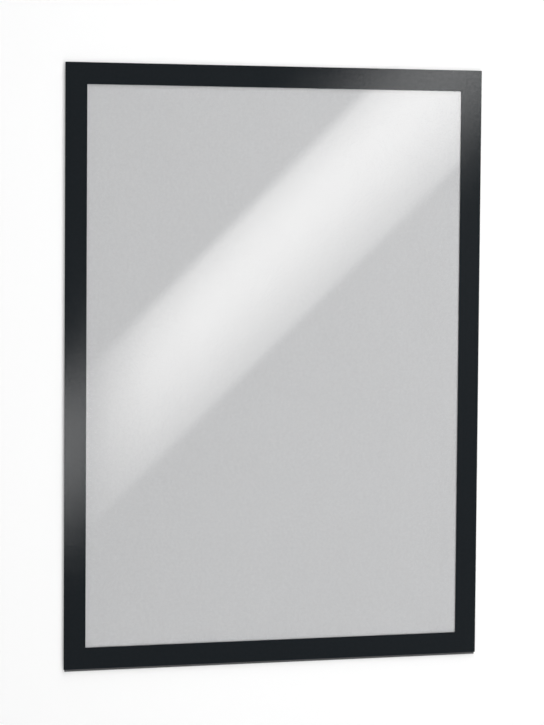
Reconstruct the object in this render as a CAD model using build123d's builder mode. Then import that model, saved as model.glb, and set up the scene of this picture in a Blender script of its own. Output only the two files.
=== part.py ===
"""Magnetic poster frame: a front panel on a film hinge that closes over a back panel stuck to the wall."""

import os

from build123d import *

# Millimetres, with X along the width, Z up and the front towards -Y.
# The origin is the middle of the plane where the adhesive meets the wall.

# The A3 sheet that the frame shows
sheet_width = 297.0
sheet_height = 420.0
sheet_clearance = 0.5
window_overlap = 2.5

# Widths of the magnet strips and of the front panel's lip past the back panel
side_magnet_width = 12.7
top_magnet_width = 12.2
bottom_magnet_width = 6.5
magnet_joint_gap = 0.4
lip = 0.8

# Film hinge along the lower edge
leaf_height = 6.0
leaf_gap = 0.5
fold_drop = 1.25
hinge_film_thickness = 0.2
opening_angle = 180.0

# Margin between the edge of each back magnet and the tape on it
adhesive_margin = 0.5

# Thickness of each layer, from the wall to the front
adhesive_thickness = 0.5
back_magnet_thickness = 0.5
back_sheet_thickness = 0.4
front_magnet_thickness = 0.5
window_thickness = 0.25
border_thickness = 0.25

# Corners and edges
panel_corner_radius = 0.6
window_corner_radius = 0.3
magnet_corner_radius = 0.4
magnet_edge_radius = 0.15
adhesive_corner_radius = 1.5
border_edge_radius = 0.08

# Front panel, built outwards from the sheet
side_band = sheet_clearance + side_magnet_width + lip
top_band = sheet_clearance + top_magnet_width + lip
bottom_band = sheet_clearance + bottom_magnet_width + leaf_gap + leaf_height
panel_width = sheet_width + 2 * side_band
panel_height = sheet_height + top_band + bottom_band
panel_top = panel_height / 2
panel_bottom = -panel_height / 2
sheet_middle = (bottom_band - top_band) / 2

# Back panel, inside the lip at the sides and the top
back_width = panel_width - 2 * lip
back_top = panel_top - lip
back_height = back_top - panel_bottom
back_middle = (back_top + panel_bottom) / 2

# Distance of each layer's rear face from the wall
back_magnet_depth = adhesive_thickness
back_sheet_depth = back_magnet_depth + back_magnet_thickness
front_magnet_depth = back_sheet_depth + back_sheet_thickness
window_depth = front_magnet_depth + front_magnet_thickness
border_depth = window_depth + window_thickness

# The fold lies midway between the grey sheet and the clear film.
# Its radius is taken to the middle of the hinge film.
fold_radius = (front_magnet_thickness - hinge_film_thickness) / 2
fold_depth = front_magnet_depth + front_magnet_thickness / 2
fold_centre = panel_bottom - fold_drop
leaf_top = panel_bottom + leaf_height
hinge_axis = Axis((0, -fold_depth, fold_centre - fold_radius), (1, 0, 0))

# Magnet strips as middle X, middle Z, size along X and size along Z
side_magnet_bottom = leaf_top + leaf_gap
side_magnet_height = back_top - side_magnet_bottom
side_magnet_x = (back_width - side_magnet_width) / 2
side_magnet_z = (back_top + side_magnet_bottom) / 2
cross_magnet_length = sheet_width + 2 * (sheet_clearance - magnet_joint_gap)
top_magnet_z = back_top - top_magnet_width / 2
bottom_magnet_z = side_magnet_bottom + bottom_magnet_width / 2
magnet_strips = {
    "top": (0, top_magnet_z, cross_magnet_length, top_magnet_width),
    "bottom": (0, bottom_magnet_z, cross_magnet_length, bottom_magnet_width),
    "left": (-side_magnet_x, side_magnet_z, side_magnet_width, side_magnet_height),
    "right": (side_magnet_x, side_magnet_z, side_magnet_width, side_magnet_height),
}

os.makedirs("parts", exist_ok=True)

# Black border film, one ring die-cut around the window
with BuildPart() as front_border:
    with BuildSketch(Plane.XZ.offset(border_depth)):
        RectangleRounded(panel_width, panel_height, panel_corner_radius)
        with Locations((0, sheet_middle)):
            RectangleRounded(
                sheet_width - 2 * window_overlap,
                sheet_height - 2 * window_overlap,
                window_corner_radius,
                mode=Mode.SUBTRACT,
            )
    extrude(amount=border_thickness)
    fillet(front_border.faces().sort_by(Axis.Y)[0].edges(), border_edge_radius)
front_border.part.label = "front_border"
export_step(front_border.part, "parts/front_border.step")

# Clear film behind the border, which carries the border and the front magnets
with BuildPart() as front_window:
    with BuildSketch(Plane.XZ.offset(window_depth)):
        RectangleRounded(panel_width, panel_height, panel_corner_radius)
    extrude(amount=window_thickness)
front_window.part.label = "front_window"
export_step(front_window.part, "parts/front_window.step")

# Grey sheet that the poster lies on
with BuildPart() as back_sheet:
    with BuildSketch(Plane.XZ.offset(back_sheet_depth)):
        with Locations((0, back_middle)):
            RectangleRounded(back_width, back_height, panel_corner_radius)
    extrude(amount=back_sheet_thickness)
back_sheet.part.label = "back_sheet"
export_step(back_sheet.part, "parts/back_sheet.step")

# Magnet strips in two rings, one behind the grey sheet and one behind the clear film, with rounded rear edges
for side, (middle_x, middle_z, size_x, size_z) in magnet_strips.items():
    for panel, depth, thickness in (
        ("back", back_magnet_depth, back_magnet_thickness),
        ("front", front_magnet_depth, front_magnet_thickness),
    ):
        with BuildPart() as magnet:
            with BuildSketch(Plane.XZ.offset(depth)):
                with Locations((middle_x, middle_z)):
                    RectangleRounded(size_x, size_z, magnet_corner_radius)
            extrude(amount=thickness)
            fillet(magnet.faces().sort_by(Axis.Y)[-1].edges(), magnet_edge_radius)
        magnet.part.label = f"{panel}_magnet_{side}"
        export_step(magnet.part, f"parts/{panel}_magnet_{side}.step")

# Tape on the rear of the back magnets, which holds the frame to the wall
for side, (middle_x, middle_z, size_x, size_z) in magnet_strips.items():
    with BuildPart() as adhesive_strip:
        with BuildSketch(Plane.XZ):
            with Locations((middle_x, middle_z)):
                RectangleRounded(
                    size_x - 2 * adhesive_margin,
                    size_z - 2 * adhesive_margin,
                    adhesive_corner_radius,
                )
        extrude(amount=adhesive_thickness)
    adhesive_strip.part.label = f"adhesive_strip_{side}"
    export_step(adhesive_strip.part, f"parts/adhesive_strip_{side}.step")

# Hinge film: one leaf down the back sheet, round the fold and up behind the clear film
with BuildPart() as hinge_strip:
    with BuildSketch(Plane.YZ.offset(-back_width / 2)):
        with BuildLine():
            back_leaf = Line(
                (fold_radius - fold_depth, leaf_top),
                (fold_radius - fold_depth, fold_centre),
            )
            fold = TangentArc(
                back_leaf @ 1,
                (-fold_radius - fold_depth, fold_centre),
                tangent=back_leaf % 1,
            )
            Line(fold @ 1, (-fold_radius - fold_depth, leaf_top))
        trace(line_width=hinge_film_thickness)
    extrude(amount=back_width)
    RevoluteJoint("front_hinge", axis=hinge_axis, angular_range=(0, opening_angle))
hinge_strip.part.label = "hinge_strip"
export_step(hinge_strip.part, "parts/hinge_strip.step")
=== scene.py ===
import math

import bpy
from mathutils import Matrix, Vector


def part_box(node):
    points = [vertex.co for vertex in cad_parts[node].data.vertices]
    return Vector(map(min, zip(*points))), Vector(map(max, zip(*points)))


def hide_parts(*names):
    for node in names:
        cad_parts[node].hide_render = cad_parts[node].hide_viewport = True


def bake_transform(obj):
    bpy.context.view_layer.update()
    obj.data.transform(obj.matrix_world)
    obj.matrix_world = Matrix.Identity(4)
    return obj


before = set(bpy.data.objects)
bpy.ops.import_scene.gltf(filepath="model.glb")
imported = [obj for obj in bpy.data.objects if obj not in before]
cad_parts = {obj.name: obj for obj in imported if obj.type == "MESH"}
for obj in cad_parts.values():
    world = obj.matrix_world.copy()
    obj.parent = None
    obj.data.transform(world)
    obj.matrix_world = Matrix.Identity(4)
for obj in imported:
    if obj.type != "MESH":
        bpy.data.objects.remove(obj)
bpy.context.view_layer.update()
scene = bpy.context.scene
scene.view_settings.view_transform = "Standard"

# Metres throughout, in the part's own frame: X along the width, Z up, the front towards -Y
millimetre = 0.001
sides = ("top", "bottom", "left", "right")
panel_low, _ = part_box("front_border")
panel_face = panel_low.y

# The photograph's viewpoint, aimed at a point near the middle of the front panel
image_long_side = 725
view_focal_pixels = 2761.9
view_azimuth = math.radians(-17.154)
view_elevation = math.radians(3.486)
view_roll = math.radians(0.440)
view_distance = 2.0716
view_aim = Vector((-0.0033, panel_face, 0.00225))

# Hinge film, folded between the panels with one leaf on each
hinge_low, hinge_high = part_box("hinge_strip")
hinge_film_thickness = 0.2 * millimetre
fold_radius = (hinge_high.y - hinge_low.y - hinge_film_thickness) / 2
hinge_middle = (hinge_high.y + hinge_low.y) / 2
leaf_length = hinge_high.z - hinge_low.z - fold_radius - hinge_film_thickness / 2
columns_along = 49
rows_across = 49
sharp_edge_angle = math.radians(40)

# Border film: the depth of its grain, and its lean out of the window's plane as a rise over a run
border_grain_depth = 0.0235 * millimetre
border_lean = 0.007

# Clear film: the share that each face mirrors seen square on, and the power by which that grows at a glance
window_mirror_share = 0.066
glancing_power = 5

# Lines along the strips and the hinge film, as how many noise cells a metre holds along and across them
magnet_lines_along = 5
magnet_lines_across = 1200
hinge_lines_along = 6
hinge_lines_across = 1500

# Strip light, given by where its mirror image lies on the panel.
# Each edge has its height at the panel's middle and its rise over a run.
strip_stand_off = 1.5
strip_left = -0.190
strip_right = 0.230
strip_upper_edge = (0.1455, 0.9711)
strip_lower_edge = (0.0065, 0.9345)
strip_steps = 24
strip_strength = 7.0

# Its brightness across, from the upper edge, and along, from the left, as places and levels
strip_across = ((0, 0), (0.03, 0.15), (0.09, 0.6), (0.16, 0.78), (0.24, 0.92), (0.37, 1), (0.5, 0.94),
                (0.62, 0.8), (0.75, 0.61), (0.86, 0.44), (0.895, 0.37), (0.92, 0.22), (0.945, 0.07),
                (0.965, 0), (1, 0))
strip_along = ((0, 0.5), (0.06, 0.62), (0.104, 1), (0.105, 0.07), (0.121, 0.115), (0.148, 0.225),
               (0.221, 0.43), (0.312, 0.52), (0.795, 0.52), (0.805, 0.65), (1, 0.65))

# Black card behind the strip light, which the border and the window mirror.
# It glows faintly, brighter to the right over one stretch of its width, and more so above one stretch of
# its height.
card_stand_off = 1.6
card_middle = (0.45, -0.08)
card_size = (1.7, 1.7)
card_right_level = 0.09
card_right_stretch = (0.5, 0.75)
card_low_share = 0.4
card_low_stretch = (0.4, 0.55)

# Room: white wall behind the frame, pale floor well below the opened front, even light all round.
# The wall and the floor each give a share of their own light, so that neither turns grey.
wall_gap = 0.2 * millimetre
wall_size = 8.0
floor_drop = 0.72
wall_own_light = 0.25
floor_own_light = 0.6
room_level = 0.31


def add(tree, kind, inputs=None, **settings):
    """A new node with its settings, whose inputs are plain values or links from other nodes."""
    node = tree.nodes.new(kind)
    for name, value in settings.items():
        setattr(node, name, value)
    for name, value in (inputs or {}).items():
        if isinstance(value, bpy.types.NodeSocket):
            tree.links.new(value, node.inputs[name])
        else:
            node.inputs[name].default_value = value
    return node


def maths(tree, operation, first, second=0.0):
    """One step of arithmetic on one or two sockets or numbers."""
    return add(tree, "ShaderNodeMath", {0: first, 1: second}, operation=operation).outputs[0]


def between(tree, value, low, high, start=0.0, end=1.0):
    """Carries a value from the stretch start to end over to the stretch low to high."""
    spread = {"Value": value, "From Min": start, "From Max": end, "To Min": low, "To Max": high}
    return add(tree, "ShaderNodeMapRange", spread).outputs["Result"]


def graded(tree, value, stops, interpolation):
    """A value that follows a few stops, each a place and a level."""
    ramp = add(tree, "ShaderNodeValToRGB", {"Fac": value})
    ramp.color_ramp.interpolation = interpolation
    while len(ramp.color_ramp.elements) < len(stops):
        ramp.color_ramp.elements.new(0.5)
    for element, (place, level) in zip(ramp.color_ramp.elements, stops):
        element.position = place
        element.color = (level, level, level, 1)
    return ramp.outputs["Color"]


def tinted(tree, mask, dark, light):
    """A colour between dark and light, by a mask."""
    ramp = add(tree, "ShaderNodeValToRGB", {"Fac": mask})
    ramp.color_ramp.elements[0].color = (*dark, 1)
    ramp.color_ramp.elements[1].color = (*light, 1)
    return ramp.outputs["Color"]


def new_group(name, inputs, outputs):
    """A shader node group with its named sockets, and the nodes that stand for both ends."""
    tree = bpy.data.node_groups.new(name, "ShaderNodeTree")
    for socket, kind in inputs.items():
        tree.interface.new_socket(socket, in_out="INPUT", socket_type=kind)
    for socket in outputs:
        tree.interface.new_socket(socket, in_out="OUTPUT", socket_type="NodeSocketFloat")
    return tree, add(tree, "NodeGroupInput").outputs, add(tree, "NodeGroupOutput").inputs


def use_group(tree, group, inputs):
    """Places a node group in a material and gives its outputs."""
    return add(tree, "ShaderNodeGroup", inputs, node_tree=group).outputs


def noise(tree, vector, scale, detail, distortion=0.0):
    """A smooth random value that changes from place to place."""
    inputs = {"Vector": vector, "Scale": scale, "Detail": detail, "Distortion": distortion}
    return add(tree, "ShaderNodeTexNoise", inputs).outputs["Fac"]


def scaled(tree, vector, factors):
    """A place with each of its coordinates multiplied."""
    return add(tree, "ShaderNodeVectorMath", {0: vector, 1: factors}, operation="MULTIPLY").outputs[0]


def make_satin_grain():
    """Fine embossed grain with a coarser mottle through it."""
    sizes = {
        "Vector": "NodeSocketVector",
        "Fine Scale": "NodeSocketFloat",
        "Coarse Scale": "NodeSocketFloat",
        "Coarse Share": "NodeSocketFloat",
    }
    tree, given, result = new_group("satin_grain", sizes, ("Height", "Mottle"))
    fine = noise(tree, given["Vector"], given["Fine Scale"], detail=2)
    coarse = noise(tree, given["Vector"], given["Coarse Scale"], detail=0.5)
    mix = add(tree, "ShaderNodeMix", {0: given["Coarse Share"], 2: fine, 3: coarse})
    tree.links.new(mix.outputs[0], result["Height"])
    tree.links.new(between(tree, coarse, 0, 1, start=0.3, end=0.7), result["Mottle"])
    return tree


def make_handling_haze():
    """Soft uneven sheen left by wiping and handling."""
    sizes = {"Vector": "NodeSocketVector", "Patch Scale": "NodeSocketFloat"}
    tree, given, result = new_group("handling_haze", sizes, ("Haze",))
    drawn_up = scaled(tree, given["Vector"], (1, 1, 0.35))
    wipes = noise(tree, drawn_up, given["Patch Scale"], detail=3, distortion=0.6)
    tree.links.new(between(tree, wipes, 0, 1, start=0.35, end=0.7), result["Haze"])
    return tree


def make_run_lines():
    """Lines that rollers and dies leave along the length of a strip."""
    sizes = {"Vector": "NodeSocketVector", "Line Scale": "NodeSocketVector"}
    tree, given, result = new_group("run_lines", sizes, ("Height", "Lines"))
    lines = noise(tree, scaled(tree, given["Vector"], given["Line Scale"]), 1, detail=3)
    tree.links.new(lines, result["Height"])
    tree.links.new(between(tree, lines, 0, 1, start=0.35, end=0.65), result["Lines"])
    return tree


def make_specks():
    """Scattered specks, as of ferrite grains in rubber or pits in foam."""
    sizes = {"Vector": "NodeSocketVector", "Speck Scale": "NodeSocketFloat", "Share": "NodeSocketFloat"}
    tree, given, result = new_group("specks", sizes, ("Speck",))
    cells = add(tree, "ShaderNodeTexVoronoi", {"Vector": given["Vector"], "Scale": given["Speck Scale"]})
    draw = add(tree, "ShaderNodeSeparateColor", {"Color": cells.outputs["Color"]})
    chosen = maths(tree, "LESS_THAN", draw.outputs["Red"], given["Share"])
    dot = between(tree, cells.outputs["Distance"], 1, 0, start=0.15, end=0.45)
    tree.links.new(maths(tree, "MULTIPLY", chosen, dot), result["Speck"])
    return tree


def make_cut_edge():
    """The narrow cut sides of a sheet, which don't face the front or the wall."""
    tree, given, result = new_group("cut_edge", {"Normal": "NodeSocketVector"}, ("Edge",))
    axes = add(tree, "ShaderNodeSeparateXYZ", {"Vector": given["Normal"]})
    facing = maths(tree, "ABSOLUTE", axes.outputs["Y"])
    tree.links.new(between(tree, facing, 1, 0, start=0.5, end=0.95), result["Edge"])
    return tree


satin_grain = make_satin_grain()
handling_haze = make_handling_haze()
run_lines = make_run_lines()
specks = make_specks()
cut_edge = make_cut_edge()


def new_material(name):
    """An empty material with its coordinates and its surface socket."""
    material = bpy.data.materials.new(name)
    material.use_nodes = True
    tree = material.node_tree
    tree.nodes.clear()
    output = add(tree, "ShaderNodeOutputMaterial")
    place = add(tree, "ShaderNodeTexCoord").outputs
    return material, tree, place, output.inputs["Surface"]


def grain_on(tree, place, fine, coarse, coarse_share):
    """Satin grain whose fine and coarse marks have these sizes."""
    return use_group(tree, satin_grain, {
        "Vector": place["Object"],
        "Fine Scale": 1 / fine,
        "Coarse Scale": 1 / coarse,
        "Coarse Share": coarse_share,
    })


def haze_on(tree, place, patch_scale):
    """How hazy the surface is, from 0 to 1."""
    return use_group(tree, handling_haze, {"Vector": place["Object"], "Patch Scale": patch_scale})["Haze"]


def lines_on(tree, place, line_scale):
    """Lines along a strip, as a height and as a mask."""
    return use_group(tree, run_lines, {"Vector": place["Object"], "Line Scale": line_scale})


def specks_on(tree, place, spacing, share):
    """A mask of specks this far apart, on a share of their places."""
    inputs = {"Vector": place["Object"], "Speck Scale": 1 / spacing, "Share": share}
    return use_group(tree, specks, inputs)["Speck"]


def cut_edge_on(tree, place):
    """A mask of a sheet's cut sides."""
    return use_group(tree, cut_edge, {"Normal": place["Normal"]})["Edge"]


def height_on(tree, place):
    """The height of a point of the part above its middle."""
    return add(tree, "ShaderNodeSeparateXYZ", {"Vector": place["Object"]}).outputs["Z"]


def bumped(tree, height, depth):
    """A surface normal from a height of 0 to 1 that stands for this depth."""
    relief = {"Height": height, "Distance": depth, "Strength": 1}
    return add(tree, "ShaderNodeBump", relief).outputs["Normal"]


def make_border_film():
    """Satin black film with a fine grain and paler cut sides."""
    material, tree, place, surface = new_material("border_film_black")
    grain = grain_on(tree, place, fine=0.4 * millimetre, coarse=2.2 * millimetre, coarse_share=0.4)
    haze = haze_on(tree, place, patch_scale=18)
    edge = cut_edge_on(tree, place)
    tone = maths(tree, "ADD", between(tree, grain["Mottle"], 0, 0.3), between(tree, edge, 0, 0.7))
    sheen = maths(tree, "ADD", between(tree, grain["Mottle"], 0.055, 0.07), between(tree, haze, 0, 0.02))
    lean = maths(tree, "MULTIPLY", height_on(tree, place), border_lean / border_grain_depth)
    normal = bumped(tree, maths(tree, "ADD", grain["Height"], lean), border_grain_depth)
    shader = add(tree, "ShaderNodeBsdfPrincipled", {
        "Base Color": tinted(tree, tone, dark=(0.0123, 0.0153, 0.0179), light=(0.0165, 0.0194, 0.0223)),
        "Roughness": maths(tree, "ADD", sheen, between(tree, edge, 0, 0.2)),
        "Specular IOR Level": 0.44,
        "Normal": normal,
        "Coat Weight": between(tree, grain["Mottle"], 0, 0.27),
        "Coat Roughness": 0.06,
        "Coat Normal": normal,
    })
    tree.links.new(shader.outputs[0], surface)
    return material


def make_clear_film():
    """Clear glossy film: light passes straight through, and each face mirrors a few percent."""
    material, tree, place, surface = new_material("window_film_clear")
    haze = haze_on(tree, place, patch_scale=14)
    facing = add(tree, "ShaderNodeLayerWeight", {"Blend": 0.5}).outputs["Facing"]
    glancing = maths(tree, "POWER", facing, glancing_power)
    mirrored = between(tree, glancing, window_mirror_share, 1)
    clear = add(tree, "ShaderNodeBsdfTransparent", {"Color": (0.995, 0.995, 0.995, 1)})
    gloss = add(tree, "ShaderNodeBsdfAnisotropic", {
        "Color": (0.68, 0.67, 0.656, 1),
        "Roughness": between(tree, haze, 0.015, 0.035),
    })
    film = add(tree, "ShaderNodeMixShader", {0: mirrored, 1: clear.outputs[0], 2: gloss.outputs[0]})
    tree.links.new(film.outputs[0], surface)
    return material


def make_grey_sheet():
    """Light grey sheet, matt, with a faint grain."""
    material, tree, place, surface = new_material("back_sheet_grey")
    grain = grain_on(tree, place, fine=0.6 * millimetre, coarse=1.7 * millimetre, coarse_share=0.5)
    haze = haze_on(tree, place, patch_scale=9)
    edge = cut_edge_on(tree, place)
    tone = maths(tree, "ADD", between(tree, grain["Mottle"], 0, 0.8), between(tree, haze, 0, 0.2))
    shader = add(tree, "ShaderNodeBsdfPrincipled", {
        "Base Color": tinted(tree, tone, dark=(0.649, 0.654, 0.665), light=(0.701, 0.707, 0.717)),
        "Roughness": between(tree, edge, 0.5, 0.75),
        "Normal": bumped(tree, grain["Height"], depth=0.003 * millimetre),
    })
    tree.links.new(shader.outputs[0], surface)
    return material


def make_magnet_rubber(name, line_scale):
    """Dark ferrite rubber with lines along the strip and ferrite specks painted lighter, as painted glints.
    """
    material, tree, place, surface = new_material(name)
    lines = lines_on(tree, place, line_scale)
    # Ferrite specks, painted lighter in the colour as painted glints.
    powder_glints = specks_on(tree, place, spacing=0.5 * millimetre, share=0.3)
    grain = grain_on(tree, place, fine=0.3 * millimetre, coarse=2.5 * millimetre, coarse_share=0.3)
    tone = maths(tree, "ADD", between(tree, lines["Lines"], 0, 0.5), between(tree, powder_glints, 0, 0.5))
    relief = maths(tree, "ADD", between(tree, grain["Height"], 0, 0.4), lines["Height"])
    shader = add(tree, "ShaderNodeBsdfPrincipled", {
        "Base Color": tinted(tree, tone, dark=(0.020, 0.0175, 0.016), light=(0.042, 0.037, 0.033)),
        "Roughness": between(tree, grain["Mottle"], 0.52, 0.68),
        "Normal": bumped(tree, relief, depth=0.012 * millimetre),
    })
    tree.links.new(shader.outputs[0], surface)
    return material


def make_adhesive_tape():
    """Off-white foam tape with fine pits, painted darker as shade in their hollows, and a slightly tacky
    sheen.
    """
    material, tree, place, surface = new_material("adhesive_tape_foam")
    pits = specks_on(tree, place, spacing=0.7 * millimetre, share=0.6)
    grain = grain_on(tree, place, fine=0.5 * millimetre, coarse=6 * millimetre, coarse_share=0.5)
    # Pits are painted darker in the colour, as painted shade in their hollows.
    tone = maths(tree, "SUBTRACT", between(tree, grain["Mottle"], 0.5, 1), between(tree, pits, 0, 0.5))
    relief = maths(tree, "SUBTRACT", grain["Height"], pits)
    shader = add(tree, "ShaderNodeBsdfPrincipled", {
        "Base Color": tinted(tree, tone, dark=(0.60, 0.575, 0.49), light=(0.74, 0.72, 0.64)),
        "Roughness": between(tree, grain["Mottle"], 0.32, 0.5),
        "Normal": bumped(tree, relief, depth=0.03 * millimetre),
    })
    tree.links.new(shader.outputs[0], surface)
    return material


def make_hinge_film():
    """Satin black film with drawn lines, paler at the fold: partly whitening of the bent film, partly
    painted light on its lower side.
    """
    material, tree, place, surface = new_material("hinge_film_black")
    lines = lines_on(tree, place, (hinge_lines_along, hinge_lines_across, hinge_lines_across))
    haze = haze_on(tree, place, patch_scale=40)
    # Paler towards the bottom of the fold: partly whitening of the bent film, partly painted light, lit
    # below and shaded above under the front panel.
    fold_whitening_and_light = between(tree, height_on(tree, place), 1, 0, start=hinge_low.z, end=hinge_low.z + 2 * fold_radius)
    sheen = maths(tree, "ADD", between(tree, lines["Lines"], 0.42, 0.5), between(tree, haze, 0, 0.05))
    shader = add(tree, "ShaderNodeBsdfPrincipled", {
        "Base Color": tinted(tree, fold_whitening_and_light, dark=(0.068, 0.070, 0.072), light=(0.102, 0.104, 0.107)),
        "Roughness": sheen,
        "Normal": bumped(tree, lines["Height"], depth=0.003 * millimetre),
    })
    tree.links.new(shader.outputs[0], surface)
    return material


def make_folded_film_tree(material):
    """Geometry nodes for a film that runs down, round a half turn and up again, drawn from a flat grid.

    The grid is 1 across: a quarter for the back leaf, a half for the turn and a quarter for the front leaf.
    """
    tree = bpy.data.node_groups.new("folded_film", "GeometryNodeTree")
    tree.interface.new_socket("Geometry", in_out="INPUT", socket_type="NodeSocketGeometry")
    for name in ("Length", "Leaf Length", "Fold Radius", "Middle Depth", "Leaf Top"):
        tree.interface.new_socket(name, in_out="INPUT", socket_type="NodeSocketFloat")
    tree.interface.new_socket("Geometry", in_out="OUTPUT", socket_type="NodeSocketGeometry")
    given = add(tree, "NodeGroupInput").outputs
    grid = add(tree, "GeometryNodeMeshGrid", {
        "Size X": given["Length"],
        "Size Y": 1,
        "Vertices X": columns_along,
        "Vertices Y": rows_across,
    })
    position = add(tree, "GeometryNodeInputPosition").outputs[0]
    flat = add(tree, "ShaderNodeSeparateXYZ", {"Vector": position}).outputs
    down = between(tree, flat["Y"], 0, given["Leaf Length"], start=-0.5, end=-0.25)
    turn = between(tree, flat["Y"], 0, math.pi, start=-0.25, end=0.25)
    up = between(tree, flat["Y"], 0, given["Leaf Length"], start=0.25, end=0.5)
    depth = maths(tree, "MULTIPLY", given["Fold Radius"], maths(tree, "COSINE", turn))
    drop = maths(tree, "MULTIPLY", given["Fold Radius"], maths(tree, "SINE", turn))
    rise = maths(tree, "SUBTRACT", maths(tree, "SUBTRACT", up, down), drop)
    folded = add(tree, "ShaderNodeCombineXYZ", {
        "X": flat["X"],
        "Y": maths(tree, "ADD", given["Middle Depth"], depth),
        "Z": maths(tree, "ADD", given["Leaf Top"], rise),
    }).outputs[0]
    shaped = add(tree, "GeometryNodeSetPosition", {"Geometry": grid.outputs["Mesh"], "Position": folded})
    real = add(tree, "GeometryNodeRealizeInstances", {"Geometry": shaped.outputs[0]})
    dressed = add(tree, "GeometryNodeSetMaterial", {"Geometry": real.outputs[0], "Material": material})
    add(tree, "NodeGroupOutput", {"Geometry": dressed.outputs[0]})
    return tree


def make_hinge():
    """The hinge film as a plain mesh with its thickness, in the place of the stored strip."""
    tree = make_folded_film_tree(make_hinge_film())
    sizes = {
        "Length": hinge_high.x - hinge_low.x,
        "Leaf Length": leaf_length,
        "Fold Radius": fold_radius,
        "Middle Depth": hinge_middle,
        "Leaf Top": hinge_high.z,
    }
    blank = bpy.data.objects.new("hinge_blank", bpy.data.meshes.new("hinge_blank"))
    scene.collection.objects.link(blank)
    folding = blank.modifiers.new("folded_film", "NODES")
    folding.node_group = tree
    for item in tree.interface.items_tree:
        if item.in_out == "INPUT" and item.name in sizes:
            folding[item.identifier] = sizes[item.name]
    wall = blank.modifiers.new("film_thickness", "SOLIDIFY")
    wall.thickness = hinge_film_thickness
    wall.offset = 0
    wall.use_even_offset = True
    bpy.context.view_layer.update()
    evaluated = blank.evaluated_get(bpy.context.evaluated_depsgraph_get())
    mesh = bpy.data.meshes.new_from_object(evaluated)
    bpy.data.objects.remove(blank)
    mesh.name = "hinge_film"
    for face in mesh.polygons:
        face.use_smooth = True
    mesh.set_sharp_from_angle(angle=sharp_edge_angle)
    hinge = bpy.data.objects.new("hinge_film", mesh)
    scene.collection.objects.link(hinge)
    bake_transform(hinge)
    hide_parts("hinge_strip")


def dress(node, material):
    """Gives a carried-over piece its finish."""
    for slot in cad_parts[node].material_slots:
        slot.material = material


def make_panel(name, corners, material, spots=None):
    """A flat stage panel from points in pairs along it, with a map of spots on it where one is given."""
    mesh = bpy.data.meshes.new(name)
    mesh.from_pydata(corners, [], [(n, n + 1, n + 3, n + 2) for n in range(0, len(corners) - 2, 2)])
    if spots:
        layer = mesh.uv_layers.new(name="spots")
        for loop in mesh.loops:
            layer.data[loop.index].uv = spots[loop.vertex_index]
    mesh.materials.append(material)
    panel = bpy.data.objects.new(name, mesh)
    scene.collection.objects.link(panel)
    return panel


def make_backdrop_white(name, own_light):
    """White surface that keeps soft shadows on its front and lets views from behind through."""
    material, tree, _, surface = new_material(name)
    paint = add(tree, "ShaderNodeBsdfDiffuse", {"Color": (1, 1, 1, 1)}).outputs[0]
    glow = add(tree, "ShaderNodeEmission", {"Color": (1, 1, 1, 1), "Strength": 1}).outputs[0]
    front = add(tree, "ShaderNodeMixShader", {0: own_light, 1: paint, 2: glow}).outputs[0]
    behind = add(tree, "ShaderNodeBsdfTransparent").outputs[0]
    back = add(tree, "ShaderNodeNewGeometry").outputs["Backfacing"]
    both = add(tree, "ShaderNodeMixShader", {0: back, 1: front, 2: behind})
    tree.links.new(both.outputs[0], surface)
    return material


def make_room():
    """White wall, pale floor and even light from all round."""
    half = wall_size / 2
    floor_height = panel_low.z - floor_drop
    wall_corners = [(x, wall_gap, z) for z in (floor_height, half) for x in (-half, half)]
    floor_corners = [(x, y, floor_height) for y in (-half, wall_gap) for x in (-half, half)]
    wall = make_panel("wall", wall_corners, make_backdrop_white("wall_white", wall_own_light))
    floor = make_panel("floor", floor_corners, make_backdrop_white("floor_white", floor_own_light))
    for panel in (wall, floor):
        panel.visible_diffuse = False
        panel.visible_shadow = False
    world = bpy.data.worlds.new("studio_room")
    world.use_nodes = True
    tree = world.node_tree
    tree.nodes.clear()
    path = add(tree, "ShaderNodeLightPath").outputs
    mirrored = maths(tree, "MAXIMUM", path["Is Glossy Ray"], path["Is Transmission Ray"])
    shown = maths(tree, "MAXIMUM", path["Is Camera Ray"], mirrored)
    level = between(tree, shown, room_level, 1)
    sky = add(tree, "ShaderNodeBackground", {"Color": (1, 1, 1, 1), "Strength": level})
    add(tree, "ShaderNodeOutputWorld", {"Surface": sky.outputs[0]})
    scene.world = world


def make_lamp(name, spot, size, watts):
    """A large soft lamp aimed at the frame, which the camera and mirror images don't show."""
    light = bpy.data.lights.new(name, "AREA")
    light.size = size
    light.energy = watts
    lamp = bpy.data.objects.new(name, light)
    lamp.location = spot
    lamp.rotation_euler = (-Vector(spot)).to_track_quat("-Z", "Y").to_euler()
    lamp.visible_camera = False
    lamp.visible_glossy = False
    scene.collection.objects.link(lamp)


def place_camera():
    """The photograph's camera, turned a little about its own axis. Gives the point that it sees from."""
    back = Vector((
        math.sin(view_azimuth) * math.cos(view_elevation),
        -math.cos(view_azimuth) * math.cos(view_elevation),
        math.sin(view_elevation),
    ))
    camera = bpy.data.objects.new("camera", bpy.data.cameras.new("camera"))
    camera.data.lens = view_focal_pixels * camera.data.sensor_width / image_long_side
    turn = back.to_track_quat("Z", "Y").to_matrix() @ Matrix.Rotation(view_roll, 3, "Z")
    camera.matrix_world = Matrix.Translation(view_aim + view_distance * back) @ turn.to_4x4()
    scene.collection.objects.link(camera)
    scene.camera = camera
    return camera.matrix_world.translation.copy()


def mirrored_spot(eye, x, z, stand_off):
    """Where the eye sees to, by way of a point on the panel, on a plane this far in front of it."""
    reach = stand_off / (panel_face - eye.y)
    return x + (x - eye.x) * reach, panel_face - stand_off, z + (z - eye.z) * reach


def show_in_mirrors_only(panel):
    """Keeps a panel out of sight and out of the light, so that only glossy surfaces show it."""
    panel.visible_camera = False
    panel.visible_diffuse = False
    panel.visible_transmission = False
    panel.visible_shadow = False


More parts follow.
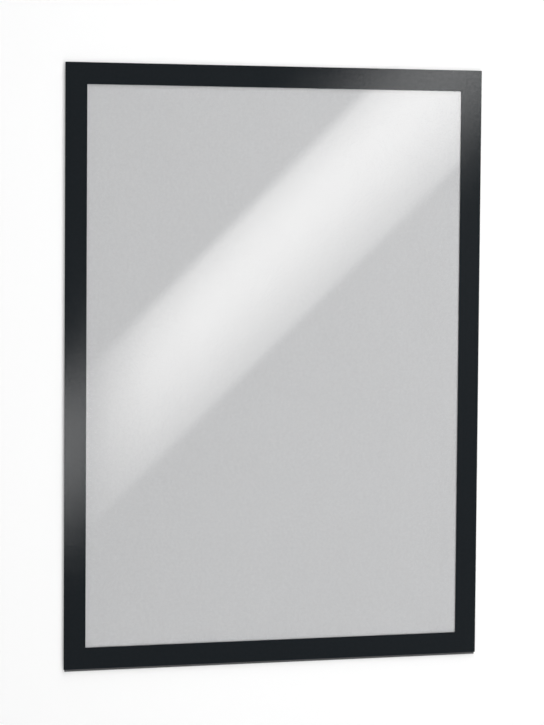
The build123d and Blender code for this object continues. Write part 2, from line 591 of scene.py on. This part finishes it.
def make_strip_light(eye):
    """Graded strip light whose mirror image crosses the window from the lower left to the upper right."""
    material, tree, place, surface = new_material("strip_light")
    spot = add(tree, "ShaderNodeSeparateXYZ", {"Vector": place["UV"]}).outputs
    across_level = graded(tree, spot["X"], strip_across, "CARDINAL")
    along_level = graded(tree, spot["Y"], strip_along, "LINEAR")
    level = maths(tree, "MULTIPLY", across_level, along_level)
    glow = add(tree, "ShaderNodeEmission", {"Strength": maths(tree, "MULTIPLY", level, strip_strength)})
    tree.links.new(glow.outputs[0], surface)
    corners = []
    spots = []
    for step in range(strip_steps + 1):
        along = step / strip_steps
        x = strip_left + (strip_right - strip_left) * along
        for across, (middle, rise) in ((0, strip_upper_edge), (1, strip_lower_edge)):
            corners.append(mirrored_spot(eye, x, middle + x * rise, strip_stand_off))
            spots.append((across, along))
    show_in_mirrors_only(make_panel("strip_light", corners, material, spots))


def make_black_card():
    """Black card that glows faintly at the upper right, a weak light that the panel mirrors in place of the
    room.
    """
    material, tree, place, surface = new_material("black_card")
    spot = add(tree, "ShaderNodeSeparateXYZ", {"Vector": place["UV"]}).outputs
    right_start, right_end = card_right_stretch
    low_start, low_end = card_low_stretch
    rightwards = between(tree, spot["X"], 0, card_right_level, start=right_start, end=right_end)
    upwards = between(tree, spot["Y"], card_low_share, 1, start=low_start, end=low_end)
    glow = add(tree, "ShaderNodeEmission", {"Strength": maths(tree, "MULTIPLY", rightwards, upwards)})
    tree.links.new(glow.outputs[0], surface)
    middle_x, middle_z = card_middle
    wide, high = card_size
    y = panel_face - card_stand_off
    spots = [(across, up) for up in (0, 1) for across in (0, 1)]
    corners = [(middle_x + wide * (across - 0.5), y, middle_z + high * (up - 0.5)) for across, up in spots]
    show_in_mirrors_only(make_panel("black_card", corners, material, spots))


# Finish of every piece
magnet_across = make_magnet_rubber(
    "magnet_rubber_across", (magnet_lines_along, magnet_lines_across, magnet_lines_across))
magnet_upright = make_magnet_rubber(
    "magnet_rubber_upright", (magnet_lines_across, magnet_lines_across, magnet_lines_along))
adhesive_tape = make_adhesive_tape()
dress("front_border", make_border_film())
dress("front_window", make_clear_film())
dress("back_sheet", make_grey_sheet())
for side in sides:
    magnet = magnet_across if side in ("top", "bottom") else magnet_upright
    dress(f"front_magnet_{side}", magnet)
    dress(f"back_magnet_{side}", magnet)
    dress(f"adhesive_strip_{side}", adhesive_tape)
make_hinge()

# Room, lamps and camera
make_room()
make_lamp("overhead_lamp", spot=(0.6, -1.4, 4.2), size=3.0, watts=96)
make_lamp("front_lamp", spot=(0.25, -1.0, 0.3), size=0.8, watts=5.45)
make_lamp("low_lamp", spot=(0.2, -1.2, -0.85), size=1.2, watts=7.2)
make_lamp("rear_lamp", spot=(-0.6, 2.0, 0.9), size=1.2, watts=34)
eye = place_camera()
make_strip_light(eye)
make_black_card()
